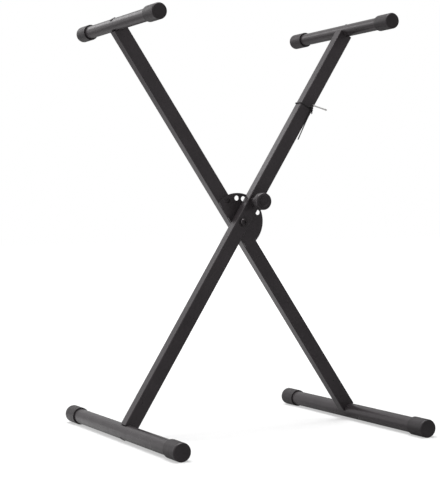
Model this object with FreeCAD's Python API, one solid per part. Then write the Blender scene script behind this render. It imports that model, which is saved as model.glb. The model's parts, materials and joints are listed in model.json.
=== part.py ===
# Folding keyboard stand. Two crossed legs turn on one pivot bolt, each leg carries an upper and a base
# cross tube with rubber caps, and a sprung pin on the front leg locks into a holed plate on the rear leg.
# Millimetres. X to the right, Y to the back, Z up. The origin is on the floor, under the pivot.
import FreeCAD, Part
import math
import os
from collections import namedtuple

from FreeCAD import Placement, Rotation, Vector

# ---- Layout ----
HALF_ANGLE = 32.6             # lean of each leg from vertical, in degrees
UPPER_REACH = 485.0           # pivot to the axis of an upper tube
BASE_REACH = 500.0            # pivot to the axis of a base tube
TUBE_SHIFT = 3.3              # each tube sits this far over the middle, away from its own leg

# ---- Legs: rectangular tube, with a square cut and a saddle at both ends ----
LEG_WIDTH = 30.0              # in the plane of the cross
LEG_DEPTH = 25.0              # along the pivot
LEG_WALL = 1.5
LEG_CORNER = 2.0              # outer corner radius
UPPER_LEG_STOP = 9.0          # from the square end of the leg to the upper tube's axis
BASE_LEG_STOP = 10.5          # the same at the base tube

# ---- Cross tubes and their caps ----
UPPER_TUBE_DIAMETER = 26.0
UPPER_TUBE_WALL = 1.5
UPPER_SPAN = 420.0            # over both caps
BASE_TUBE_DIAMETER = 31.8
BASE_TUBE_WALL = 1.5
BASE_SPAN = 600.0             # over both caps
UPPER_CAP_WALL = 3.3
UPPER_CAP_LENGTH = 48.7
BASE_CAP_WALL = 2.8
BASE_CAP_LENGTH = 51.0
CAP_END = 4.0                 # thickness of a cap's closed end
CAP_EDGE = 3.6                # rounding of a cap's closed end
CAP_LIP = 0.5                 # rounding of a cap's mouth

# ---- Tube bolts and the threaded plugs in the leg ends ----
TUBE_BOLT = 8.0               # shank diameter
TUBE_BOLT_HEAD = 13.5         # head diameter
TUBE_BOLT_HEAD_HEIGHT = 0.6   # above the crest of the tube
TUBE_BOLT_HEAD_ROUND = 0.6
TUBE_BOLT_SOCKET = 5.0        # across the flats of the hexagon socket
TUBE_BOLT_SOCKET_DEPTH = 2.0
TUBE_BOLT_HOLE_GAP = 0.2      # radial room for the bolt in the tube's holes
TUBE_BOLT_TAIL = 3.0          # bolt past the plug
PLUG_GAP = 0.6                # plug to tube
PLUG_THICKNESS = 8.0

# ---- Pivot ----
PIVOT_BOLT = 10.0             # shank diameter
PIVOT_HEAD = 15.5             # head diameter
PIVOT_HEAD_HEIGHT = 4.4
PIVOT_HEAD_ROUND = 3.0
PIVOT_SOCKET = 6.0            # across the flats
PIVOT_SOCKET_DEPTH = 2.6
PIVOT_WASHER = 20.0           # washer diameter, front and back
PIVOT_WASHER_THICKNESS = 1.5
PIVOT_NUT = 17.0              # across the flats
PIVOT_NUT_HEIGHT = 8.0
PIVOT_NUT_COLLAR = 2.6        # round collar of the lock nut, part of its height
PIVOT_BOLT_TAIL = 2.0         # bolt past the nut
BUSH_WALL = 2.0               # wall of the steel bushes in the legs
FRICTION_WASHER = 26.0        # diameter of the nylon washer between the front leg and the plate
FRICTION_WASHER_THICKNESS = 1.0
RUNNING_GAP = 0.05            # radial room round the pivot bolt, and end room beside the rear leg

# ---- Locking plate ----
PLATE_RADIUS = 59.6
PLATE_SHIFT = 2.3             # centre of the plate's round edge, from the pivot up the rear leg
PLATE_THICKNESS = 3.0
PLATE_MARGIN = 1.0            # from the straight edge of the plate to the side of the rear leg
PLATE_CORNER = 3.0
HOLE_CIRCLE = 50.8            # pivot to the lock holes
HOLE_PITCH = 17.5             # between lock holes, in degrees
HOLES_EACH_SIDE = 2           # lock holes on either side of the middle one
HOLE_GAP = 0.4                # radial room for the pin in a hole
FOLDED_TURN = 60.0            # from rest to the folded stand, in degrees

# ---- Lock pin, spring and knob, measured outwards from the back face of the front leg ----
PIN = 10.0                    # pin diameter
PIN_NOSE = 1.0                # rounding of the pin's tip
PIN_TRAVEL = 3.7              # from rest, drawn back, to locked
PIN_STOP_GAP = 0.3            # what is left at the collar when the pin is locked
PIN_COLLAR_GAP = 0.4          # radial room of the collar in the housing
PIN_COLLAR_LENGTH = 2.0
STEM = 6.0
SLIDE_GAP = 0.05              # radial room of the pin and its stem
GUIDE_WALL = 1.55             # bush that guides the pin
GUIDE_LENGTH = 8.0
HOUSING_WALL = 1.4
HOUSING_NOSE = 11.0           # housing past the front of the leg, flange included
HOUSING_END = 3.0             # end wall, which the stem passes
FLANGE_STEP = 2.0             # hexagon flange past the housing, to its flats
FLANGE_THICKNESS = 4.0
SPRING_WIRE = 1.2
SPRING_GAP = 1.1              # radial room of the spring in the housing
SPRING_TURNS = 8
SPRING_SEAT_GAP = 0.1         # at each end of the drawn-back spring
KNOB = 36.0                   # head diameter
KNOB_REACH = 44.0             # from the front of the leg to the face of the knob
KNOB_HEAD = 15.0              # thickness of the head
KNOB_EDGE = 4.5               # rounding of the head's front edge
KNOB_BACK_EDGE = 1.5
KNOB_DISH = 22.0              # diameter of the shallow dish in the face
KNOB_DISH_FLOOR = 16.0        # diameter of its flat floor
KNOB_DISH_DEPTH = 1.6
KNOB_NECK_WALL = 2.6          # hollow neck behind the head
KNOB_NECK_GAP = 0.4           # radial room of the neck round the housing
KNOB_NECK_END_GAP = 1.5       # room left at both ends of the hollow when the pin is locked
KNOB_FRONT = 8.0              # solid knob in front of the stem's end

# ---- Tie round the front leg, above the pivot ----
TIE = 2.4                     # cord diameter
TIE_HEIGHT = 289.0            # along the leg from the pivot
TIE_GAP = 0.1                 # cord to leg
TIE_TAIL_STEPS = 0.45         # share of the shorter run that an arc takes
TIE_KNOT = 6.2                # largest diameter of the knot
TIE_KNOT_TOP = 4.2
PIN_END = 3.0                 # the straight light end
PIN_END_THICK = 3.6           # both ends of it are thicker
PIN_END_THICK_LENGTH = 6.0

# Places on the tie: across the leg, along Y, and along the leg from the loop
KNOT_BOTTOM = (15.0, -30.2, -5.5)
KNOT_TOP = (8.6, -30.2, 9.2)
KNOT_STUB = (13.0, -30.25, 0.5)       # where the black end starts inside the knot
PIN_END_FROM = (9.3, -30.0, 8.7)      # from the knot outwards
PIN_END_TO = (43.9, -29.4, 18.9)
TAIL_ROUTE = [                        # the black end, from the knot down along the leg
    (13.0, -30.1, -8.5),
    (13.0, -29.8, -18.0),
    (14.3, -29.0, -32.0),
    (15.8, -28.5, -45.5),
    (17.2, -28.4, -59.0),
    (18.1, -28.7, -72.2),
]

# ---- Worked out from the sizes above ----
BASE_CAP_DIAMETER = BASE_TUBE_DIAMETER + 2 * BASE_CAP_WALL
PIVOT_HEIGHT = BASE_REACH * math.cos(math.radians(HALF_ANGLE)) + BASE_CAP_DIAMETER / 2
LEG_GAP = FRICTION_WASHER_THICKNESS + RUNNING_GAP + PLATE_THICKNESS
FRONT_FACE = -LEG_GAP / 2 - LEG_DEPTH          # Y of the front leg's front
FRONT_BACK = -LEG_GAP / 2                      # Y of the front leg's back
REAR_FACE = LEG_GAP / 2                        # Y of the rear leg's front
REAR_BACK = LEG_GAP / 2 + LEG_DEPTH            # Y of the rear leg's back
BUSH = PIVOT_BOLT + 2 * RUNNING_GAP + 2 * BUSH_WALL
HOUSING_LENGTH = LEG_DEPTH + HOUSING_NOSE
CHAMBER = PIN + 2 * SLIDE_GAP + 2 * GUIDE_WALL  # inner diameter of the housing
HOUSING = CHAMBER + 2 * HOUSING_WALL
PIN_COLLAR = CHAMBER - 2 * PIN_COLLAR_GAP
COLLAR_START = GUIDE_LENGTH + PIN_TRAVEL + PIN_STOP_GAP
KNOB_FACE = LEG_DEPTH + KNOB_REACH

Bar = namedtuple("Bar", "side axis diameter wall span cap_wall cap_length")
UPPER = Bar(1, UPPER_REACH, UPPER_TUBE_DIAMETER, UPPER_TUBE_WALL, UPPER_SPAN, UPPER_CAP_WALL, UPPER_CAP_LENGTH)
BASE = Bar(-1, -BASE_REACH, BASE_TUBE_DIAMETER, BASE_TUBE_WALL, BASE_SPAN, BASE_CAP_WALL, BASE_CAP_LENGTH)

Y_AXIS = Vector(0, 1, 0)
Z_AXIS = Vector(0, 0, 1)
FRONTWARD = Vector(0, -1, 0)


# ---- Shapes ----
def corner_arc(before, corner, after, radius):
    """Start, middle and end of the arc that rounds a corner."""
    back = (before - corner).normalize()
    ahead = (after - corner).normalize()
    half = back.getAngle(ahead) / 2
    reach = radius / math.tan(half)
    inward = (back + ahead).normalize()
    centre = corner + inward * (radius / math.sin(half))
    return corner + back * reach, centre - inward * radius, corner + ahead * reach


def line_chain(points, closed):
    """Straight runs joined by tangent arcs. Each point is a Vector and its rounding, 0 for a sharp corner."""
    edges = []
    count = len(points)
    ends = []
    for index, (corner, radius) in enumerate(points):
        inside = closed or 0 < index < count - 1
        if radius > 0 and inside:
            before = points[index - 1][0]
            after = points[(index + 1) % count][0]
            ends.append(corner_arc(before, corner, after, radius))
        else:
            ends.append((corner, None, corner))
    for index in range(count):
        start, middle, finish = ends[index]
        if middle is not None:
            edges.append(Part.Arc(start, middle, finish).toShape())
        if index < count - 1 or closed:
            following = ends[(index + 1) % count][0]
            if finish.distanceToPoint(following) > 1e-6:
                edges.append(Part.makeLine(finish, following))
    return Part.Wire(edges)


def turned(profile, base, direction):
    """Solid of revolution from (radius, height, rounding) points, standing at base along direction."""
    points = [(Vector(radius, 0, height), rounding) for radius, height, rounding in profile]
    solid = Part.Face(line_chain(points, True)).revolve(Vector(0, 0, 0), Z_AXIS, 360)
    solid.Placement = Placement(base, Rotation(Z_AXIS, direction))
    return solid


def ring(inner, outer, length, base, direction):
    """Plain round sleeve from its two diameters."""
    profile = [(inner / 2, 0, 0), (outer / 2, 0, 0), (outer / 2, length, 0), (inner / 2, length, 0)]
    return turned(profile, base, direction)


def hexagon(flats, length, base, direction):
    """Hexagonal prism from its size across the flats."""
    radius = flats / math.sqrt(3)
    corners = [
        Vector(radius * math.cos(math.radians(60 * k)), radius * math.sin(math.radians(60 * k)), 0)
        for k in range(6)
    ]
    prism = Part.Face(line_chain([(corner, 0) for corner in corners], True)).extrude(Z_AXIS * length)
    prism.Placement = Placement(base, Rotation(Z_AXIS, direction))
    return prism


def chamfered_hexagon(flats, length, base, direction):
    """Hexagonal prism whose outer corners are turned off, as on a nut or a bolt head."""
    chamfer = flats * 0.08
    profile = [
        (0, 0, 0),
        (flats / 2 + chamfer * 1.9, 0, 0),
        (flats / 2 + chamfer * 1.9, length - chamfer, 0),
        (flats / 2 - chamfer * 0.2, length, 0),
        (0, length, 0),
    ]
    return hexagon(flats, length, base, direction).common(turned(profile, base, direction))


def rounded_bar(width, depth, corner, bottom, top):
    """Upright bar with rounded corners, its axis on Z."""
    half_width = width / 2
    half_depth = depth / 2
    corners = [(-half_width, -half_depth), (half_width, -half_depth), (half_width, half_depth),
               (-half_width, half_depth)]
    points = [(Vector(x, y, bottom), corner) for x, y in corners]
    return Part.Face(line_chain(points, True)).extrude(Z_AXIS * (top - bottom))


def rod(diameter, base, direction, length):
    return Part.makeCylinder(diameter / 2, length, base, direction)


def along_y(diameter, height, length):
    """Rod along Y at a height on the leg, centred on Y = 0."""
    return rod(diameter, Vector(0, -length / 2, height), Y_AXIS, length)


def round_tube(points, share, diameter):
    """Tube along straight runs and arcs, each arc as large as its two runs allow."""
    radii = []
    for before, corner, after in zip(points, points[1:], points[2:]):
        run = min(before.distanceToPoint(corner), corner.distanceToPoint(after))
        half_turn = (corner - before).getAngle(after - corner) / 2
        radii.append(share * run / math.tan(half_turn))
    path = line_chain(list(zip(points, [0] + radii + [0])), False)
    direction = points[1] - points[0]
    profile = Part.Wire(Part.makeCircle(diameter / 2, points[0], direction))
    return path.makePipeShell([profile], True, False), path, radii


# ---- Placing a piece made in a leg's own frame: X across the leg, Z up along it ----
def leaned(shape, lean):
    shape = shape.copy()
    shape.rotate(Vector(0, 0, 0), Y_AXIS, lean)
    shape.translate(Vector(0, 0, PIVOT_HEIGHT))
    return shape


def save(name, shape, lean):
    leaned(shape, lean).exportStep("parts/" + name + ".step")


FRONT = HALF_ANGLE
REAR = -HALF_ANGLE


# ---- Legs ----
def leg(middle):
    """Hollow leg whose axis lies at Y = middle, with its saddles and its pivot hole."""
    bottom = -(BASE_REACH - BASE_LEG_STOP)
    top = UPPER_REACH - UPPER_LEG_STOP
    outer = rounded_bar(LEG_WIDTH, LEG_DEPTH, LEG_CORNER, bottom, top)
    inner = rounded_bar(LEG_WIDTH - 2 * LEG_WALL, LEG_DEPTH - 2 * LEG_WALL, LEG_CORNER - LEG_WALL, bottom, top)
    shape = outer.cut(inner)
    for diameter, height in ((UPPER.diameter, UPPER.axis), (BASE.diameter, BASE.axis), (BUSH, 0)):
        shape = shape.cut(along_y(diameter, height, 2 * LEG_DEPTH))
    shape.translate(Vector(0, middle, 0))
    return shape


def leg_plug(middle, bar):
    """Threaded plug inside the end of a leg, next to its cross tube."""
    block = rounded_bar(LEG_WIDTH - 2 * LEG_WALL, LEG_DEPTH - 2 * LEG_WALL, LEG_CORNER - LEG_WALL,
                        0, PLUG_THICKNESS)
    plug = block.cut(rod(TUBE_BOLT, Vector(0, 0, 0), Z_AXIS, PLUG_THICKNESS))
    near_face = bar.axis - bar.side * (bar.diameter / 2 + PLUG_GAP)
    plug.translate(Vector(0, middle, near_face - (PLUG_THICKNESS if bar.side > 0 else 0)))
    return plug


# ---- Cross tubes, caps and tube bolts ----
def cross_tube(middle, bar, shift):
    length = bar.span - 2 * CAP_END
    start = Vector(0, shift - length / 2, bar.axis)
    tube = ring(bar.diameter - 2 * bar.wall, bar.diameter, length, start, Y_AXIS)
    hole_start = Vector(0, middle, bar.axis - bar.diameter)
    return tube.cut(rod(TUBE_BOLT + 2 * TUBE_BOLT_HOLE_GAP, hole_start, Z_AXIS, 2 * bar.diameter))


def end_cap(bar, shift, direction):
    """Cap pushed over a tube's end, its mouth towards the leg."""
    bore = bar.diameter / 2
    profile = [
        (bore, 0, 0),
        (bore + bar.cap_wall, 0, CAP_LIP),
        (bore + bar.cap_wall, bar.cap_length, CAP_EDGE),
        (0, bar.cap_length, 0),
        (0, bar.cap_length - CAP_END, 0),
        (bore, bar.cap_length - CAP_END, 0),
    ]
    mouth = Vector(0, shift, bar.axis) + direction * (bar.span / 2 - bar.cap_length)
    return turned(profile, mouth, direction)


def tube_bolt(middle, bar):
    """Bolt through a tube into the plug, its head on the far side of the tube from the leg."""
    crest = bar.diameter / 2
    outward = Z_AXIS * bar.side
    centre = Vector(0, middle, bar.axis)
    end = -(crest + PLUG_GAP + PLUG_THICKNESS + TUBE_BOLT_TAIL)
    shank = rod(TUBE_BOLT, centre + outward * end, outward, crest - end)
    sunk = crest - math.sqrt(crest ** 2 - (TUBE_BOLT_HEAD / 2) ** 2)
    top = crest + TUBE_BOLT_HEAD_HEIGHT
    head = turned([
        (0, crest - sunk, 0),
        (TUBE_BOLT_HEAD / 2, crest - sunk, 0),
        (TUBE_BOLT_HEAD / 2, top, TUBE_BOLT_HEAD_ROUND),
        (0, top, 0),
    ], centre, outward)
    saddle = rod(bar.diameter, centre - Y_AXIS * TUBE_BOLT_HEAD, Y_AXIS, 2 * TUBE_BOLT_HEAD)
    socket_start = centre + outward * (top - TUBE_BOLT_SOCKET_DEPTH)
    socket = hexagon(TUBE_BOLT_SOCKET, TUBE_BOLT_SOCKET_DEPTH, socket_start, outward)
    return head.cut(saddle).fuse(shank).removeSplitter().cut(socket)


# ---- Pivot, turned about the Y axis through the pivot ----
def pivot_bolt():
    head_start = -FRONT_FACE + PIVOT_WASHER_THICKNESS
    head_end = head_start + PIVOT_HEAD_HEIGHT
    rear_end = -(REAR_BACK + RUNNING_GAP + PIVOT_WASHER_THICKNESS + PIVOT_NUT_HEIGHT + PIVOT_BOLT_TAIL)
    bolt = turned([
        (0, rear_end, 0),
        (PIVOT_BOLT / 2, rear_end, 0.8),
        (PIVOT_BOLT / 2, head_start, 0),
        (PIVOT_HEAD / 2, head_start, 0),
        (PIVOT_HEAD / 2, head_end, PIVOT_HEAD_ROUND),
        (0, head_end, 0),
    ], Vector(0, 0, 0), FRONTWARD)
    socket_start = Vector(0, -(head_end - PIVOT_SOCKET_DEPTH), 0)
    return bolt.cut(hexagon(PIVOT_SOCKET, PIVOT_SOCKET_DEPTH, socket_start, FRONTWARD))


def pivot_nut():
    """Lock nut on the back: a chamfered hexagon with a round collar."""
    start = Vector(0, REAR_BACK + RUNNING_GAP + PIVOT_WASHER_THICKNESS, 0)
    flats_height = PIVOT_NUT_HEIGHT - PIVOT_NUT_COLLAR
    body = chamfered_hexagon(PIVOT_NUT, flats_height, start, Y_AXIS)
    collar = turned([
        (0, 0, 0),
        (PIVOT_NUT / 2 - 1, 0, 0),
        (PIVOT_NUT / 2 - 1, PIVOT_NUT_COLLAR, 1.0),
        (0, PIVOT_NUT_COLLAR, 0),
    ], start + Y_AXIS * flats_height, Y_AXIS)
    bore = rod(PIVOT_BOLT, start - Y_AXIS, Y_AXIS, PIVOT_NUT_HEIGHT + 2)
    return body.fuse(collar).removeSplitter().cut(bore)


# ---- Locking plate, flat on the rear leg's front face ----
def hole_spot(angle):
    """Centre of a lock hole at an angle from the rear leg towards the front leg."""
    turn = math.radians(angle)
    return Vector(HOLE_CIRCLE * math.sin(turn), 0, HOLE_CIRCLE * math.cos(turn))


def locking_plate():
    """Half disc on the rear leg with a row of lock holes, and one hole for the folded stand."""
    start = REAR_FACE - PLATE_THICKNESS
    disc = rod(2 * PLATE_RADIUS, Vector(0, start, PLATE_SHIFT), Y_AXIS, PLATE_THICKNESS)
    straight_edge = -(LEG_WIDTH / 2 - PLATE_MARGIN)
    beyond = Part.makeBox(PLATE_RADIUS, PLATE_THICKNESS, 4 * PLATE_RADIUS,
                          Vector(straight_edge - PLATE_RADIUS, start, -2 * PLATE_RADIUS))
    plate = disc.cut(beyond)
    corners = [
        edge for edge in plate.Edges
        if abs(edge.BoundBox.XLength) < 1e-6 and abs(edge.BoundBox.ZLength) < 1e-6
        and abs(edge.BoundBox.XMin - straight_edge) < 1e-6
    ]
    plate = plate.makeFillet(PLATE_CORNER, corners)
    plate = plate.cut(rod(PIVOT_BOLT + 2 * RUNNING_GAP, Vector(0, start, 0), Y_AXIS, PLATE_THICKNESS))
    angles = [2 * HALF_ANGLE + k * HOLE_PITCH for k in range(-HOLES_EACH_SIDE, HOLES_EACH_SIDE + 1)]
    angles.append(2 * HALF_ANGLE - FOLDED_TURN)
    for angle in angles:
        hole_start = hole_spot(angle) + Vector(0, start, 0)
        plate = plate.cut(rod(PIN + 2 * HOLE_GAP, hole_start, Y_AXIS, PLATE_THICKNESS))
    return plate


# ---- Lock pin and knob, turned about a line along Y through the lock hole ----
PIN_BASE = Vector(0, FRONT_BACK, HOLE_CIRCLE)


def lock_housing():
    """Threaded housing through the front leg, with a hexagon flange, closed but for the stem's hole."""
    shell = turned([
        (CHAMBER / 2, 0, 0),
        (HOUSING / 2, 0, 0),
        (HOUSING / 2, HOUSING_LENGTH, 0.8),
        (STEM / 2 + SLIDE_GAP, HOUSING_LENGTH, 0),
        (STEM / 2 + SLIDE_GAP, HOUSING_LENGTH - HOUSING_END, 0),
        (CHAMBER / 2, HOUSING_LENGTH - HOUSING_END, 0),
    ], PIN_BASE, FRONTWARD)
    flange_start = PIN_BASE + FRONTWARD * LEG_DEPTH
    flange = chamfered_hexagon(HOUSING + 2 * FLANGE_STEP, FLANGE_THICKNESS, flange_start, FRONTWARD)
    flange = flange.cut(rod(HOUSING - HOUSING_WALL, flange_start, FRONTWARD, FLANGE_THICKNESS))
    return shell.fuse(flange).removeSplitter()


def pin_guide():
    """Bush pressed into the back of the housing, in which the pin slides."""
    return ring(PIN + 2 * SLIDE_GAP, CHAMBER, GUIDE_LENGTH, PIN_BASE, FRONTWARD)


def lock_pin():
    """Pin, collar and stem in one piece. At rest its tip is level with the back of the front leg."""
    collar_end = COLLAR_START + PIN_COLLAR_LENGTH
    return turned([
        (0, 0, 0),
        (PIN / 2, 0, PIN_NOSE),
        (PIN / 2, COLLAR_START, 0),
        (PIN_COLLAR / 2, COLLAR_START, 0),
        (PIN_COLLAR / 2, collar_end, 0),
        (STEM / 2, collar_end, 0),
        (STEM / 2, KNOB_FACE - KNOB_FRONT, 0),
        (0, KNOB_FACE - KNOB_FRONT, 0),
    ], PIN_BASE, FRONTWARD)


def lock_spring():
    """Coil spring, drawn back, between the pin's collar and the end wall of the housing."""
    start = COLLAR_START + PIN_COLLAR_LENGTH + SPRING_SEAT_GAP + SPRING_WIRE / 2
    finish = HOUSING_LENGTH - HOUSING_END - SPRING_SEAT_GAP - SPRING_WIRE / 2
    mean_radius = CHAMBER / 2 - SPRING_GAP - SPRING_WIRE / 2
    pitch = (finish - start) / SPRING_TURNS
    helix = Part.makeHelix(pitch, finish - start, mean_radius)
    profile = Part.Wire(Part.makeCircle(SPRING_WIRE / 2, Vector(mean_radius, 0, 0), Vector(0, 1, 0)))
    spring = Part.Wire(helix).makePipeShell([profile], True, True)
    spring.Placement = Placement(PIN_BASE + FRONTWARD * start, Rotation(Z_AXIS, FRONTWARD))
    return spring


def lock_knob():
    """Round knob with a hollow neck that slides over the housing."""
    neck_start = LEG_DEPTH + FLANGE_THICKNESS + KNOB_NECK_END_GAP + PIN_TRAVEL
    hollow_end = HOUSING_LENGTH + KNOB_NECK_END_GAP + PIN_TRAVEL
    hollow = HOUSING / 2 + KNOB_NECK_GAP
    head_start = KNOB_FACE - KNOB_HEAD
    dish_floor = KNOB_FACE - KNOB_DISH_DEPTH
    return turned([
        (hollow, neck_start, 0),
        (hollow + KNOB_NECK_WALL, neck_start, 0.8),
        (hollow + KNOB_NECK_WALL, head_start, 0),
        (KNOB / 2, head_start, KNOB_BACK_EDGE),
        (KNOB / 2, KNOB_FACE, KNOB_EDGE),
        (KNOB_DISH / 2, KNOB_FACE, 0.5),
        (KNOB_DISH_FLOOR / 2, dish_floor, 0.5),
        (0, dish_floor, 0),
        (0, KNOB_FACE - KNOB_FRONT, 0),
        (STEM / 2, KNOB_FACE - KNOB_FRONT, 0),
        (STEM / 2, hollow_end, 0),
        (hollow, hollow_end, 0),
    ], PIN_BASE, FRONTWARD)


# ---- Tie ----
def tie_loop():
    """One turn of cord pulled tight round the front leg."""
    reach = TIE / 2 + TIE_GAP
    half_width = LEG_WIDTH / 2 + reach
    half_depth = LEG_DEPTH / 2 + reach
    middle = (FRONT_FACE + FRONT_BACK) / 2
    outline = [(-half_width, -half_depth), (half_width, -half_depth), (half_width, half_depth),
               (-half_width, half_depth)]
    path = line_chain([(Vector(x, middle + y, TIE_HEIGHT), LEG_CORNER + reach) for x, y in outline], True)
    start = path.Edges[0].Vertexes[0].Point
    tangent = path.Edges[0].tangentAt(path.Edges[0].FirstParameter)
    profile = Part.Wire(Part.makeCircle(TIE / 2, start, tangent))
    return path.makePipeShell([profile], True, False)


def on_tie(spot):
    return Vector(spot[0], spot[1], TIE_HEIGHT + spot[2])


def tie_knot():
    """The two ends twisted together: a lump that narrows to its top, with a stub for the black end."""
    bottom = on_tie(KNOT_BOTTOM)
    axis = on_tie(KNOT_TOP) - bottom
    lump = turned([
        (0, 0, 0),
        (TIE_KNOT / 2, 0, 1.0),
        (TIE_KNOT / 2, axis.Length * 0.5, axis.Length * 0.2),
        (TIE_KNOT_TOP / 2, axis.Length, 1.4),
        (0, axis.Length, 0),
    ], bottom, axis)
    stub_start = on_tie(KNOT_STUB)
    stub_end = on_tie(TAIL_ROUTE[0])
    towards_knot = stub_end - on_tie(TAIL_ROUTE[1])
    stub = rod(TIE, stub_end, towards_knot, stub_start.distanceToPoint(stub_end))
    return lump.fuse(stub).cut(tie_loop())


def tie_end():
    """Straight stiff end, thicker next to the knot and at its tip."""
    start = on_tie(PIN_END_FROM)
    along = on_tie(PIN_END_TO) - start
    length = along.Length
    return turned([
        (0, 0, 0),
        (PIN_END_THICK / 2, 0, 0),
        (PIN_END_THICK / 2, PIN_END_THICK_LENGTH, 0.5),
        (PIN_END / 2, PIN_END_THICK_LENGTH + 1.0, 0.5),
        (PIN_END / 2, length - PIN_END_THICK_LENGTH - 1.0, 0.5),
        (PIN_END_THICK / 2, length - PIN_END_THICK_LENGTH, 0.5),
        (PIN_END_THICK / 2, length, 1.1),
        (0, length, 0),
    ], start, along).cut(tie_knot())


def tie_tail():
    points = [on_tie(spot) for spot in TAIL_ROUTE]
    tube, path, radii = round_tube(points, TIE_TAIL_STEPS, TIE)
    print("tie tail: length %.1f mm, radii %s" % (path.Length, [round(radius, 1) for radius in radii]))
    print("tie tail: volume %.2f, section times length %.2f" % (tube.Volume, math.pi * TIE ** 2 / 4 * path.Length))
    return tube


# ---- The whole stand ----
def save_cross_tubes(lean, middle, shift, names):
    """One leg's upper and base tube, each with its bolt, its plug and its two caps."""
    for name, bar in zip(names, (UPPER, BASE)):
        save(name + "_tube", cross_tube(middle, bar, shift), lean)
        save(name + "_bolt", tube_bolt(middle, bar), lean)
        save(name + "_leg_plug", leg_plug(middle, bar), lean)
        save(name + "_cap_front", end_cap(bar, shift, FRONTWARD), lean)
        save(name + "_cap_back", end_cap(bar, shift, Y_AXIS), lean)


def main():
    os.makedirs("parts", exist_ok=True)
    front_middle = (FRONT_FACE + FRONT_BACK) / 2
    rear_middle = (REAR_FACE + REAR_BACK) / 2

    front_leg = leg(front_middle).cut(along_y(HOUSING, HOLE_CIRCLE, 4 * LEG_DEPTH))
    save("front_leg", front_leg, FRONT)
    save("rear_leg", leg(rear_middle), REAR)
    save_cross_tubes(FRONT, front_middle, TUBE_SHIFT, ("upper_right", "base_left"))
    save_cross_tubes(REAR, rear_middle, -TUBE_SHIFT, ("upper_left", "base_right"))

    bush_bore = PIVOT_BOLT + 2 * RUNNING_GAP
    save("pivot_bolt", pivot_bolt(), FRONT)
    save("pivot_nut", pivot_nut(), FRONT)
    save("pivot_washer_front", ring(PIVOT_BOLT, PIVOT_WASHER, PIVOT_WASHER_THICKNESS,
                                    Vector(0, FRONT_FACE, 0), FRONTWARD), FRONT)
    save("pivot_washer_back", ring(PIVOT_BOLT, PIVOT_WASHER, PIVOT_WASHER_THICKNESS,
                                   Vector(0, REAR_BACK + RUNNING_GAP, 0), Y_AXIS), FRONT)
    save("friction_washer", ring(PIVOT_BOLT, FRICTION_WASHER, FRICTION_WASHER_THICKNESS,
                                 Vector(0, FRONT_BACK, 0), Y_AXIS), FRONT)
    save("pivot_bush_front", ring(bush_bore, BUSH, LEG_DEPTH, Vector(0, FRONT_FACE, 0), Y_AXIS), FRONT)
    save("pivot_bush_rear", ring(bush_bore, BUSH, LEG_DEPTH, Vector(0, REAR_FACE, 0), Y_AXIS), REAR)
    save("locking_plate", locking_plate(), REAR)

    save("lock_housing", lock_housing(), FRONT)
    save("pin_guide", pin_guide(), FRONT)
    save("lock_spring", lock_spring(), FRONT)
    save("lock_pin", lock_pin(), FRONT)
    save("lock_knob", lock_knob(), FRONT)

    save("tie_loop", tie_loop(), FRONT)
    save("tie_knot", tie_knot(), FRONT)
    save("tie_end", tie_end(), FRONT)
    save("tie_tail", tie_tail(), FRONT)


main()
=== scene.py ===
# Looks of the folding keyboard stand: finishes, the twisted tie with its free end, weld beads and threads,
# with a white studio and the camera of the photograph. Metres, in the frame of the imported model.
import json
import math

import bmesh
import bpy
from mathutils import Matrix, Vector


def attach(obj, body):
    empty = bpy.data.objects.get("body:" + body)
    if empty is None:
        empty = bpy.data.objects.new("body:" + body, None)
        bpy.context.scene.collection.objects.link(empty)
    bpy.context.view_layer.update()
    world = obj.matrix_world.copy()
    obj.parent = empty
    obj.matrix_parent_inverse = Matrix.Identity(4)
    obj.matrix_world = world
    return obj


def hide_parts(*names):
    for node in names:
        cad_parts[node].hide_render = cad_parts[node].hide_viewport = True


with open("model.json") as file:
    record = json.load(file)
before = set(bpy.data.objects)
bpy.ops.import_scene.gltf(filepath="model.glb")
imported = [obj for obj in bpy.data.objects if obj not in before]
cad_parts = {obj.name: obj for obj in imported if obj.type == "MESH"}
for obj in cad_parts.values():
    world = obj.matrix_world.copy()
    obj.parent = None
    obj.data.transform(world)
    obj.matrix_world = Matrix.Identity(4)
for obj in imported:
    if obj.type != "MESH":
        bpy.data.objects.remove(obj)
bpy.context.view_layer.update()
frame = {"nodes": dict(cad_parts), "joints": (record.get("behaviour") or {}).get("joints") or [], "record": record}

# ---- Camera: the photograph's frame and the view fitted to it ----
FRAME_WIDTH = 440                # pixels
FRAME_HEIGHT = 492
FOCAL_PIXELS = 1467.1
SENSOR_SIDE = 36.0               # long side, millimetres
CLIP_END = 50
VIEW_AZIMUTH = math.radians(-25.39)
VIEW_ELEVATION = math.radians(1.78)
VIEW_ROLL = math.radians(-1.12)
CAMERA_FROM_PIVOT = Vector((-1.36394, -2.78308, 0.0465))

# ---- The stand, from the frame ----
FOLD = next(joint for joint in frame["joints"] if joint["name"] == "fold")
PIVOT = Vector(FOLD["pos_m"])
HALF_ANGLE = math.radians(32.6)  # lean of each leg from vertical
FRONT_BODY = "front_frame"
REAR_BODY = "rear_frame"


def on_leg(across, depth, along, lean):
    """A point given across a leg, along Y and along the leg from the pivot, in the stand's frame."""
    x = across * math.cos(lean) + along * math.sin(lean)
    z = along * math.cos(lean) - across * math.sin(lean)
    return Vector((x, depth, PIVOT.z + z))


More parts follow.
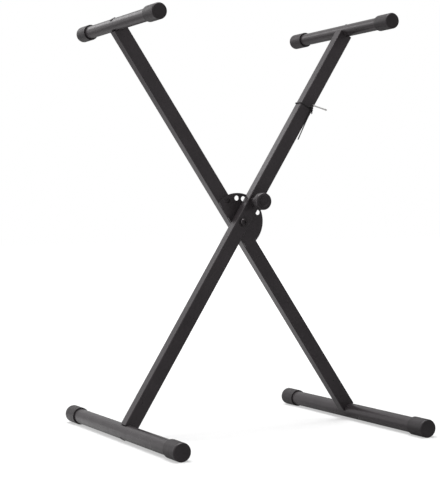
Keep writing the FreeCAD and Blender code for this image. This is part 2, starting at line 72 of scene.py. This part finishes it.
# ---- The tie: across the front leg, along Y, along the leg from the pivot ----
TIE_DIAMETER = 0.0024
TAIL_ROUTE = [
    (0.0130, -0.0301, 0.2805),
    (0.0130, -0.0298, 0.2710),
    (0.0143, -0.0290, 0.2570),
    (0.0158, -0.0285, 0.2435),
    (0.0172, -0.0284, 0.2300),
    (0.0181, -0.0287, 0.2168),
]
LOOP_HEIGHT = 0.2890
LOOP_FRONT = -0.02833            # Y of the loop's run across the front face
KNOT_BOTTOM = Vector((0.0150, -0.0302, 0.2835))
KNOT_TOP = Vector((0.0086, -0.0302, 0.2982))
KNOT_TURNS = 1.6
KNOT_FIRST_TURN = math.radians(200)
KNOT_POINTS = 22                 # along each strand's twist
KNOT_MARGIN = 0.08               # share of the knot below and above the twist
STRAND_OFFSET = 0.00165          # a strand's axis from the knot's, where it is widest
STRAND_GATHERING = 0.28          # share of that offset that is lost towards the knot's ends
STRAND_ENDS = (                  # each strand's points below the twist, and those above it
    (((0.0130, -0.0300, 0.2803), (0.0130, -0.0301, 0.2822)),
     ((0.0040, -0.0285, 0.2892), (-0.0020, LOOP_FRONT, LOOP_HEIGHT))),
    (((0.0168, -0.0303, 0.2806), (0.0163, -0.0303, 0.2826)),
     ((0.0110, -0.0301, 0.2990), (0.0132, -0.0300, 0.2993))),
)

# ---- Sizes of the stand that its added details follow ----
LEG_HALF_WIDTH = 0.015
LEG_FACE = 0.002025              # Y of the rear leg's front, and minus that of the front leg's back
LEG_DEPTH = 0.025
PLATE_EDGE = -0.014              # straight edge of the plate, across the rear leg
LOCK_HEIGHT = 0.0508             # pivot to the lock pin
HOUSING_RADIUS = 0.008
FLANGE_THICKNESS = 0.004
HOUSING_NOSE = 0.011             # from the leg's face to the housing's front end
BOLT_RADIUS = 0.005
NUT_END = 0.036625               # Y of the pivot nut's outer end
BOLT_END = 0.038625
NUT_COLLAR_RADIUS = 0.0075

# ---- Sizes of the added details ----
WELD_RADIUS = 0.0014
WELD_RIPPLE = 0.0011             # pitch of a bead's scales
WELD_OUTSIDE = 0.0002            # a bead's axis, outside the edge or the side that it runs along
EDGE_WELD_RISE = 0.0006          # the beads at the plate's edge, in front of the leg's face
SIDE_WELD_DROP = 0.0004          # the beads at the leg's side, behind the leg's face
WELD_SWAYS = ((0.00018, 1.7), (0.00012, 0.61))  # sideways waves of a bead: size, turn at each point
THREAD_RIDGE = 0.0003            # radius of a thread's ridge
THREAD_SINK = 0.0001             # the ridge's axis under the surface
THREAD_GAP = 0.0003              # from the nut or the flange to the thread's start
THREAD_STEPS = 24                # points on each turn of a thread
BOLT_PITCH = 0.0012
BOLT_CHAMFER = 0.0006            # end of the bolt that has no thread
HOUSING_PITCH = 0.0015
HOUSING_CHAMFER = 0.0012
INSERT_GAP = 0.00005             # between the bolt and the nut's nylon ring
INSERT_WALL = 0.0011             # steel outside the ring
INSERT_RISE = 0.00035            # the ring's crest beyond the nut's end
INSERT_SINK = 0.0006
INSERT_STEPS = 64


# ---- Node trees ----
class Finish:
    """A material whose Principled shader is built up from nodes, on the object's own coordinates."""

    def __init__(self, name, **shader_values):
        self.material = bpy.data.materials.new(name)
        self.material.use_nodes = True
        self.tree = self.material.node_tree
        self.tree.nodes.clear()
        output = self.node("ShaderNodeOutputMaterial")
        self.shader = self.node("ShaderNodeBsdfPrincipled")
        self.link(self.shader.outputs["BSDF"], output.inputs["Surface"])
        for socket, value in shader_values.items():
            self.shader.inputs[socket.replace("_", " ")].default_value = value
        self.place = self.node("ShaderNodeTexCoord").outputs["Object"]

    def node(self, kind, **settings):
        made = self.tree.nodes.new(kind)
        for name, value in settings.items():
            setattr(made, name, value)
        return made

    def link(self, source, target):
        self.tree.links.new(source, target)

    def noise(self, scale, detail=2.0, stretch=(1, 1, 1)):
        """Noise of a size given as features per metre, optionally stretched along the axes."""
        mapping = self.node("ShaderNodeMapping")
        mapping.inputs["Scale"].default_value = stretch
        self.link(self.place, mapping.inputs["Vector"])
        texture = self.node("ShaderNodeTexNoise")
        texture.inputs["Scale"].default_value = scale
        texture.inputs["Detail"].default_value = detail
        self.link(mapping.outputs["Vector"], texture.inputs["Vector"])
        return texture.outputs["Fac"]

    def bands(self, axis, pitch, waver):
        """Ridges across an axis, from 0 to 1, with a pitch in metres and a waver in radians."""
        parts = self.node("ShaderNodeSeparateXYZ")
        self.link(self.place, parts.inputs["Vector"])
        phase = self.math("MULTIPLY", parts.outputs[axis], 2 * math.pi / pitch)
        phase = self.math("ADD", phase, self.math("MULTIPLY", self.noise(90), waver))
        return self.math("MULTIPLY_ADD", self.math("SINE", phase), 0.5, 0.5)

    def math(self, operation, *values):
        made = self.node("ShaderNodeMath", operation=operation)
        for socket, value in zip(made.inputs, values):
            if isinstance(value, (int, float)):
                socket.default_value = value
            else:
                self.link(value, socket)
        return made.outputs["Value"]

    def spread(self, source, low, high, start=0.3, end=0.7):
        """Maps a noise's middle range to a range of values."""
        made = self.node("ShaderNodeMapRange")
        made.inputs["From Min"].default_value = start
        made.inputs["From Max"].default_value = end
        made.inputs["To Min"].default_value = low
        made.inputs["To Max"].default_value = high
        self.link(source, made.inputs["Value"])
        return made.outputs["Result"]

    def colours(self, source, *stops):
        """Colour ramp from (place, colour) stops."""
        ramp = self.node("ShaderNodeValToRGB")
        elements = ramp.color_ramp.elements
        while len(elements) < len(stops):
            elements.new(0.5)
        for element, (place, colour) in zip(elements, stops):
            element.position = place
            element.color = (*colour, 1.0)
        self.link(source, ramp.inputs["Fac"])
        return ramp.outputs["Color"]

    def colour(self, source):
        self.link(source, self.shader.inputs["Base Color"])

    def roughness(self, source):
        self.link(source, self.shader.inputs["Roughness"])

    def bump(self, source, distance):
        """Adds a bump of a real height; several are laid over one another."""
        made = self.node("ShaderNodeBump")
        made.inputs["Distance"].default_value = distance
        made.inputs["Strength"].default_value = 1.0
        self.link(source, made.inputs["Height"])
        normal = self.shader.inputs["Normal"]
        if normal.is_linked:
            self.link(normal.links[0].from_socket, made.inputs["Normal"])
        self.link(made.outputs["Normal"], normal)


def grey(value, warm=0.0):
    """Grey, with more red and less blue by a share."""
    return (value * (1 + warm), value, value * (1 - warm))


def black(value):
    """Near-black with the faint warmth that the stand has in the photograph."""
    return (value * 1.12, value * 0.97, value * 1.04)


# ---- Finishes ----
WARM_GLOSS = (1.0, 0.94, 0.98, 1.0)  # tint of the black finishes' reflections


def powder_coat():
    """Semi-gloss black powder coat: fine orange peel, faint cloudiness and specks of dust."""
    finish = Finish("black_powder_coat", Specular_Tint=WARM_GLOSS)
    dust = finish.spread(finish.noise(2600, 3), 0, 1, 0.66, 0.74)
    cloud = finish.noise(22, 4)
    both = finish.math("MULTIPLY_ADD", dust, 0.4, finish.math("MULTIPLY", cloud, 0.6))
    finish.colour(finish.colours(both, (0.15, black(0.020)), (0.45, black(0.029)), (0.9, black(0.062))))
    finish.roughness(finish.spread(finish.noise(48, 3), 0.27, 0.35))
    finish.bump(finish.noise(850, 2), 0.00006)
    finish.bump(finish.noise(190, 2), 0.00008)
    return finish.material


def cap_rubber():
    """Matte moulded rubber with a fine grain and faint rings round the tube's axis."""
    finish = Finish("cap_rubber", Specular_Tint=WARM_GLOSS)
    cloud = finish.noise(35, 4)
    finish.colour(finish.colours(cloud, (0.3, black(0.011)), (0.7, black(0.019))))
    finish.roughness(finish.spread(finish.noise(120, 3), 0.42, 0.54))
    finish.bump(finish.bands("Y", 0.0021, 1.5), 0.00005)
    finish.bump(finish.noise(1500, 3), 0.00005)
    return finish.material


def black_steel():
    """Blackened steel of bolts, nut, washers and housing, finely mottled."""
    finish = Finish("black_steel", Metallic=0.6)
    finish.colour(finish.colours(finish.noise(260, 3), (0.3, black(0.02)), (0.75, black(0.06))))
    finish.roughness(finish.spread(finish.noise(600, 2), 0.28, 0.42))
    finish.bump(finish.noise(1800, 2), 0.00003)
    return finish.material


def bright_steel():
    """Zinc-plated steel, slightly clouded."""
    finish = Finish("bright_steel", Metallic=1.0)
    finish.colour(finish.colours(finish.noise(140, 4), (0.3, grey(0.46)), (0.7, grey(0.62))))
    finish.roughness(finish.spread(finish.noise(500, 3), 0.24, 0.4))
    finish.bump(finish.noise(1200, 2, (1, 0.1, 1)), 0.00003)
    return finish.material


def nylon():
    """Natural nylon of the friction washer and the nut's ring."""
    finish = Finish("nylon", Subsurface_Weight=0.2, Subsurface_Scale=0.001)
    finish.colour(finish.colours(finish.noise(200, 3), (0.3, grey(0.62, 0.03)), (0.7, grey(0.72, 0.02))))
    finish.roughness(finish.spread(finish.noise(700, 2), 0.4, 0.55))
    return finish.material


def knob_plastic():
    """Satin black moulded plastic with a fine spark-eroded grain."""
    finish = Finish("knob_plastic", Specular_Tint=WARM_GLOSS)
    finish.colour(finish.colours(finish.noise(60, 3), (0.3, black(0.013)), (0.7, black(0.022))))
    finish.roughness(finish.spread(finish.noise(300, 3), 0.38, 0.5))
    finish.bump(finish.noise(2200, 2), 0.00004)
    return finish.material


def tie_black():
    """Black plastic-coated wire."""
    finish = Finish("tie_black")
    finish.colour(finish.colours(finish.noise(400, 3), (0.3, black(0.008)), (0.7, black(0.018))))
    finish.roughness(finish.spread(finish.noise(900, 2), 0.35, 0.5))
    finish.bump(finish.noise(1600, 2), 0.00004)
    return finish.material


def tie_light():
    """The tie's light grey end."""
    finish = Finish("tie_light")
    finish.colour(finish.colours(finish.noise(500, 3), (0.3, grey(0.42, 0.02)), (0.7, grey(0.58, 0.02))))
    finish.roughness(finish.spread(finish.noise(800, 2), 0.35, 0.5))
    finish.bump(finish.noise(1500, 2), 0.00004)
    return finish.material


FINISHES = {
    "black_powder_coat": powder_coat(),
    "cap_rubber": cap_rubber(),
    "black_steel": black_steel(),
    "bright_steel": bright_steel(),
    "nylon": nylon(),
    "knob_plastic": knob_plastic(),
    "tie_black": tie_black(),
    "tie_light": tie_light(),
}


def dress_frame():
    """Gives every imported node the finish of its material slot."""
    for part in frame["record"]["subparts"]:
        node = frame["nodes"][part["node"]]
        node.data.materials.clear()
        node.data.materials.append(FINISHES[part["material_slot"]])


# ---- Pieces ----
def front_point(place):
    """A point given on the front leg, in the stand's frame."""
    return on_leg(*place, HALF_ANGLE)


def rear_point(place):
    """A point given on the rear leg, in the stand's frame."""
    return on_leg(*place, -HALF_ANGLE)


def link_piece(name, data, slot, body):
    """Adds a piece that rides on a body and wears the finish of a material slot."""
    piece = bpy.data.objects.new(name, data)
    bpy.context.scene.collection.objects.link(piece)
    piece.data.materials.append(FINISHES[slot])
    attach(piece, body)
    return piece


def bevelled_curve(name, depth, resolution=4):
    """Empty round curve of a radius, with closed ends."""
    curve = bpy.data.curves.new(name, "CURVE")
    curve.dimensions = "3D"
    curve.bevel_depth = depth
    curve.bevel_resolution = resolution
    curve.use_fill_caps = True
    return curve


def add_run(curve, places, radii=None, order=3, smoothness=6):
    """Adds one open NURBS run through control points, each with its share of the curve's thickness."""
    spline = curve.splines.new("NURBS")
    spline.points.add(len(places) - 1)
    for index, (point, place) in enumerate(zip(spline.points, places)):
        point.co = (*place, 1.0)
        point.radius = radii[index] if radii else 1.0
    spline.order_u = order
    spline.use_endpoint_u = True
    spline.resolution_u = smoothness


def tail_cord():
    """The tie's free end, a curve through its route's control points."""
    curve = bevelled_curve("tie_tail_cord", TIE_DIAMETER / 2, 5)
    add_run(curve, [front_point(place) for place in TAIL_ROUTE], smoothness=16)
    piece = link_piece("tie_tail_cord", curve, "tie_black", FRONT_BODY)
    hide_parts("tie_tail")


def twisted_knot():
    """The tie's two ends twisted round each other: one comes from the loop and goes on as the black end,
    the other carries the light end."""
    axis = KNOT_TOP - KNOT_BOTTOM
    along = axis.normalized()
    sideways = Vector((0, 1, 0)).cross(along).normalized()
    depthways = along.cross(sideways)
    curve = bevelled_curve("tie_knot_twist", TIE_DIAMETER / 2, 5)
    for strand, (below, above) in enumerate(STRAND_ENDS):
        twist = []
        for step in range(KNOT_POINTS):
            share = step / (KNOT_POINTS - 1)
            turn = 2 * math.pi * (KNOT_TURNS * share + strand / 2) + KNOT_FIRST_TURN
            offset = STRAND_OFFSET * (1 - STRAND_GATHERING * (1 - math.sin(math.pi * share)))
            spot = KNOT_BOTTOM + axis * (KNOT_MARGIN + (1 - 2 * KNOT_MARGIN) * share)
            twist.append(spot + (sideways * math.cos(turn) + depthways * math.sin(turn)) * offset)
        add_run(curve, [front_point(place) for place in (*below, *twist, *above)], order=4)
    piece = link_piece("tie_knot_twist", curve, "tie_black", FRONT_BODY)
    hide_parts("tie_knot")


def weld_beads():
    """Stitch welds of the locking plate: along its straight edge, and behind it along the leg's side."""
    curve = bevelled_curve("locking_plate_welds", WELD_RADIUS)
    at_edge = (PLATE_EDGE + WELD_OUTSIDE, LEG_FACE - EDGE_WELD_RISE)
    at_side = (LEG_HALF_WIDTH + WELD_OUTSIDE, LEG_FACE + SIDE_WELD_DROP)
    stitches = (
        (*at_edge, -0.046, -0.020),
        (*at_edge, 0.020, 0.048),
        (*at_side, -0.047, -0.017),
        (*at_side, 0.019, 0.052),
    )
    (fast_sway, fast_turn), (slow_sway, slow_turn) = WELD_SWAYS
    for across, depth, start, end in stitches:
        count = 2 * int((end - start) / WELD_RIPPLE)
        places = []
        radii = []
        for step in range(count + 1):
            share = step / count
            sway = (fast_sway * math.sin(step * fast_turn)
                    + slow_sway * math.sin(step * slow_turn + across * 400))
            places.append(rear_point((across + sway, depth, start + (end - start) * share)))
            taper = min(1.0, 0.45 + 6 * min(share, 1 - share))
            radii.append(taper * (1.0 if step % 2 else 0.84))
        add_run(curve, places, radii, smoothness=3)
    link_piece("locking_plate_welds", curve, "black_powder_coat", REAR_BODY)


def thread(name, surface, start, end, height, pitch):
    """Screw thread round a line along Y at a height on the front leg: one ridge that fades at both ends."""
    curve = bevelled_curve(name, THREAD_RIDGE, 0)
    radius = surface - THREAD_SINK
    count = int(abs(end - start) / pitch * THREAD_STEPS)
    centre = front_point((0, 0, height))
    places = []
    radii = []
    for step in range(count + 1):
        turn = 2 * math.pi * step / THREAD_STEPS
        depth = start + (end - start) * step / count
        places.append(centre + Vector((radius * math.cos(turn), depth, radius * math.sin(turn))))
        radii.append(min(1.0, 0.1 + 2.5 * min(step, count - step) / THREAD_STEPS))
    add_run(curve, places, radii, smoothness=2)
    link_piece(name, curve, "black_steel", FRONT_BODY)


def lathed(name, profile, steps, slot, body, centre):
    """Closed ring round a line along Y, from (radius, Y) points."""
    mesh = bpy.data.meshes.new(name)
    builder = bmesh.new()
    rings = []
    for step in range(steps):
        turn = 2 * math.pi * step / steps
        rings.append([
            builder.verts.new(centre + Vector((radius * math.cos(turn), depth, radius * math.sin(turn))))
            for radius, depth in profile
        ])
    for step in range(steps):
        ring = rings[step]
        following = rings[(step + 1) % steps]
        for index in range(len(profile)):
            after = (index + 1) % len(profile)
            builder.faces.new((ring[index], ring[after], following[after], following[index]))
    bmesh.ops.recalc_face_normals(builder, faces=builder.faces)
    builder.to_mesh(mesh)
    builder.free()
    for polygon in mesh.polygons:
        polygon.use_smooth = True
    link_piece(name, mesh, slot, body)


def nut_insert():
    """Nylon ring that locks the pivot nut, seen in the end of its collar."""
    inner = BOLT_RADIUS + INSERT_GAP
    outer = NUT_COLLAR_RADIUS - INSERT_WALL
    top = NUT_END + INSERT_RISE
    bottom = NUT_END - INSERT_SINK
    profile = [
        (inner, bottom),
        (inner, top - 0.00015),
        (inner + 0.00015, top),
        (outer - 0.00035, top - 0.00005),
        (outer - 0.0001, top - 0.0002),
        (outer, bottom),
    ]
    lathed("pivot_nut_insert", profile, INSERT_STEPS, "nylon", FRONT_BODY, front_point((0, 0, 0)))


def small_details():
    """Every added piece but the tie's free end."""
    twisted_knot()
    weld_beads()
    thread("pivot_bolt_thread", BOLT_RADIUS, NUT_END + THREAD_GAP, BOLT_END - BOLT_CHAMFER, 0, BOLT_PITCH)
    leg_front = -LEG_FACE - LEG_DEPTH
    thread("lock_housing_thread", HOUSING_RADIUS, leg_front - FLANGE_THICKNESS - THREAD_GAP,
           leg_front - HOUSING_NOSE + HOUSING_CHAMFER, LOCK_HEIGHT, HOUSING_PITCH)
    nut_insert()


# ---- Studio ----
LIGHT_SIDE = (-0.46, 0.80, 0.38)     # towards the white side of the room
SIDE_RANGE = (-0.2, 0.6)             # cosine to that side, from the dim to the white
FILL_LIGHT = (0.35, 0.5)             # light on the object from the dim and from the white side
MIRRORED_LIGHT = (0.48, 0.68)        # the same as seen in glossy surfaces
DARK_SIDE = (0.97, 0.24, 0.0)        # towards the dark screen on the right
DARK_RANGE = (0.45, 0.8)
DARK_SHARE = 0.08                    # what the screen leaves of the light
FLOOR_RADIUS = 14
FLOOR_SIDES = 96
FLOOR_GREY = 0.8                     # colour of the floor's lit share
FLOOR_GLOW = 1.25                    # plain white of the floor, as the camera sees it
PAINTED_POOL_MIDDLE = (-0.75, 0.8, 0.0)       # middle of the painted pool of light on the floor, seen only in glossy surfaces
PAINTED_POOL_FADE = (0.6, 1.4)              # distance over which the painted pool fades
PAINTED_POOL_LEVELS = (0.95, 0.27)             # painted glow of the floor in glossy rays, in the pool and outside it
SHADOW_GLOW = 0.4                    # share of plain white near the stand
SHADOW_REACH = (0.55, 1.3)           # distance over which the floor turns plain white

# Lamps: name, place, what it points at, width, height, watts
OVERHEAD_LAMP = ("light_overhead", (-0.4, 0.2, 4.0), (0, 0, 0.3), 2.4, 2.4, 170)
SIDE_LAMPS = (
    ("light_back_left", (-0.75, 1.7, 1.6), (-0.1, 0, 0.5), 1.1, 0.5, 2.6),
    ("light_left", (-1.5, 0.3, 0.95), (-0.1, 0, 0.45), 1.0, 1.5, 9),
)


def make_camera():
    """Camera of the fitted view."""
    back = Vector((math.sin(VIEW_AZIMUTH) * math.cos(VIEW_ELEVATION),
                   -math.cos(VIEW_AZIMUTH) * math.cos(VIEW_ELEVATION),
                   math.sin(VIEW_ELEVATION)))
    right = Vector((math.cos(VIEW_AZIMUTH), math.sin(VIEW_AZIMUTH), 0))
    up = back.cross(right)
    rolled_right = right * math.cos(VIEW_ROLL) + up * math.sin(VIEW_ROLL)
    rolled_up = up * math.cos(VIEW_ROLL) - right * math.sin(VIEW_ROLL)
    data = bpy.data.cameras.new("camera")
    data.sensor_width = SENSOR_SIDE
    data.lens = SENSOR_SIDE * FOCAL_PIXELS / max(FRAME_WIDTH, FRAME_HEIGHT)
    data.clip_end = CLIP_END
    camera = bpy.data.objects.new("camera", data)
    turn = Matrix((rolled_right, rolled_up, back)).transposed().to_4x4()
    camera.matrix_world = Matrix.Translation(PIVOT + CAMERA_FROM_PIVOT) @ turn
    bpy.context.scene.collection.objects.link(camera)
    bpy.context.scene.camera = camera


def number(tree, operation, *values):
    """Math node on numbers and sockets."""
    made = tree.nodes.new("ShaderNodeMath")
    made.operation = operation
    for socket, value in zip(made.inputs, values):
        if isinstance(value, (int, float)):
            socket.default_value = value
        else:
            tree.links.new(value, socket)
    return made.outputs["Value"]


def between(tree, source, start, end, low, high):
    """Smooth step of a value from one range to another."""
    made = tree.nodes.new("ShaderNodeMapRange")
    made.interpolation_type = "SMOOTHSTEP"
    for name, value in (("From Min", start), ("From Max", end), ("To Min", low), ("To Max", high)):
        made.inputs[name].default_value = value
    tree.links.new(source, made.inputs["Value"])
    return made.outputs["Result"]


def towards(tree, direction):
    """Cosine between the direction that is looked at and a direction in the room."""
    facing = tree.nodes.new("ShaderNodeVectorMath")
    facing.operation = "DOT_PRODUCT"
    facing.inputs[1].default_value = Vector(direction).normalized()
    tree.links.new(tree.nodes.new("ShaderNodeTexCoord").outputs["Generated"], facing.inputs[0])
    return facing.outputs["Value"]


def distance_from(tree, spot):
    """Distance of the shaded place from a spot of the object's own space."""
    apart = tree.nodes.new("ShaderNodeVectorMath")
    apart.operation = "DISTANCE"
    apart.inputs[1].default_value = spot
    tree.links.new(tree.nodes.new("ShaderNodeTexCoord").outputs["Object"], apart.inputs[0])
    return apart.outputs["Value"]


def reflected(tree, path):
    """1 for rays that see the studio in a glossy or a clear surface."""
    return number(tree, "MAXIMUM", path.outputs["Is Glossy Ray"], path.outputs["Is Transmission Ray"])


def make_world():
    """Studio with white behind, above and to the left, and a dim side to the front and right."""
    world = bpy.data.worlds.new("studio")
    bpy.context.scene.world = world
    world.use_nodes = True
    tree = world.node_tree
    tree.nodes.clear()
    path = tree.nodes.new("ShaderNodeLightPath")
    side = towards(tree, LIGHT_SIDE)
    fill = between(tree, side, *SIDE_RANGE, *FILL_LIGHT)
    mirror = between(tree, side, *SIDE_RANGE, *MIRRORED_LIGHT)
    extra = number(tree, "SUBTRACT", mirror, fill)
    strength = number(tree, "MULTIPLY_ADD", reflected(tree, path), extra, fill)
    screen = between(tree, towards(tree, DARK_SIDE), *DARK_RANGE, 1.0, DARK_SHARE)
    strength = number(tree, "MULTIPLY", strength, screen)
    rest = number(tree, "SUBTRACT", 1.0, strength)
    strength = number(tree, "MULTIPLY_ADD", path.outputs["Is Camera Ray"], rest, strength)
    background = tree.nodes.new("ShaderNodeBackground")
    background.inputs["Color"].default_value = (1, 1, 1, 1)
    tree.links.new(strength, background.inputs["Strength"])
    output = tree.nodes.new("ShaderNodeOutputWorld")
    tree.links.new(background.outputs[0], output.inputs["Surface"])


def make_floor():
    """Plain white floor: lit, with the stand's soft shadow near it, and even white further out. In glossy surfaces
    it shows a painted pool of light: a glow and a lit colour that are brighter behind to the left and dimmer
    elsewhere.
    """
    mesh = bpy.data.meshes.new("studio_floor")
    builder = bmesh.new()
    bmesh.ops.create_circle(builder, cap_ends=True, segments=FLOOR_SIDES, radius=FLOOR_RADIUS)
    builder.to_mesh(mesh)
    builder.free()
    floor = bpy.data.objects.new("studio_floor", mesh)
    bpy.context.scene.collection.objects.link(floor)
    material = bpy.data.materials.new("floor_white")
    material.use_nodes = True
    tree = material.node_tree
    tree.nodes.clear()
    path = tree.nodes.new("ShaderNodeLightPath")
    mirrored = reflected(tree, path)
    looked_at = number(tree, "MAXIMUM", path.outputs["Is Camera Ray"], mirrored)
    even = between(tree, distance_from(tree, (0, 0, 0)), *SHADOW_REACH, SHADOW_GLOW, 1.0)
    # painted pool of light for glossy rays: a level that is brighter behind to the left and fades to dim away from
    # there
    painted_pool_level = between(tree, distance_from(tree, PAINTED_POOL_MIDDLE), *PAINTED_POOL_FADE, *PAINTED_POOL_LEVELS)
    lit = tree.nodes.new("ShaderNodeBsdfDiffuse")
    # painted shade in reflections: for glossy rays the lit floor's colour is scaled down by the painted pool's
    # level
    painted_pool_darkening = number(tree, "MULTIPLY", mirrored, number(tree, "SUBTRACT", painted_pool_level, 1.0))
    tree.links.new(number(tree, "MULTIPLY_ADD", painted_pool_darkening, FLOOR_GREY, FLOOR_GREY), lit.inputs["Color"])
    glow = tree.nodes.new("ShaderNodeEmission")
    camera_glow = number(tree, "MULTIPLY", path.outputs["Is Camera Ray"], FLOOR_GLOW)
    # painted glow of the pool, seen only in glossy rays
    painted_reflection_glow = number(tree, "MULTIPLY", mirrored, painted_pool_level)
    tree.links.new(number(tree, "ADD", camera_glow, painted_reflection_glow), glow.inputs["Strength"])
    mix = tree.nodes.new("ShaderNodeMixShader")
    tree.links.new(number(tree, "MULTIPLY", looked_at, even), mix.inputs[0])
    tree.links.new(lit.outputs[0], mix.inputs[1])
    tree.links.new(glow.outputs[0], mix.inputs[2])
    output = tree.nodes.new("ShaderNodeOutputMaterial")
    tree.links.new(mix.outputs[0], output.inputs["Surface"])
    mesh.materials.append(material)
    return floor


def softbox(name, place, target, width, height, power):
    """Rectangular lamp that points at a target and isn't seen by the camera."""
    data = bpy.data.lights.new(name, "AREA")
    data.shape = "RECTANGLE"
    data.size = width
    data.size_y = height
    data.energy = power
    lamp = bpy.data.objects.new(name, data)
    place = Vector(place)
    turn = (place - Vector(target)).to_track_quat("Z", "Y").to_matrix().to_4x4()
    lamp.matrix_world = Matrix.Translation(place) @ turn
    lamp.visible_camera = False
    bpy.context.scene.collection.objects.link(lamp)
    return lamp


def make_lights(floor):
    """Overhead light for all, and two side lights that leave the floor alone."""
    softbox(*OVERHEAD_LAMP)
    unlit = bpy.data.collections.new("unlit_by_side_lights")
    unlit.objects.link(floor)
    unlit.collection_objects[0].light_linking.link_state = "EXCLUDE"
    for lamp in SIDE_LAMPS:
        softbox(*lamp).light_linking.receiver_collection = unlit


dress_frame()
make_camera()
tail_cord()
small_details()
make_world()
make_lights(make_floor())
bpy.context.scene.view_settings.view_transform = "Standard"
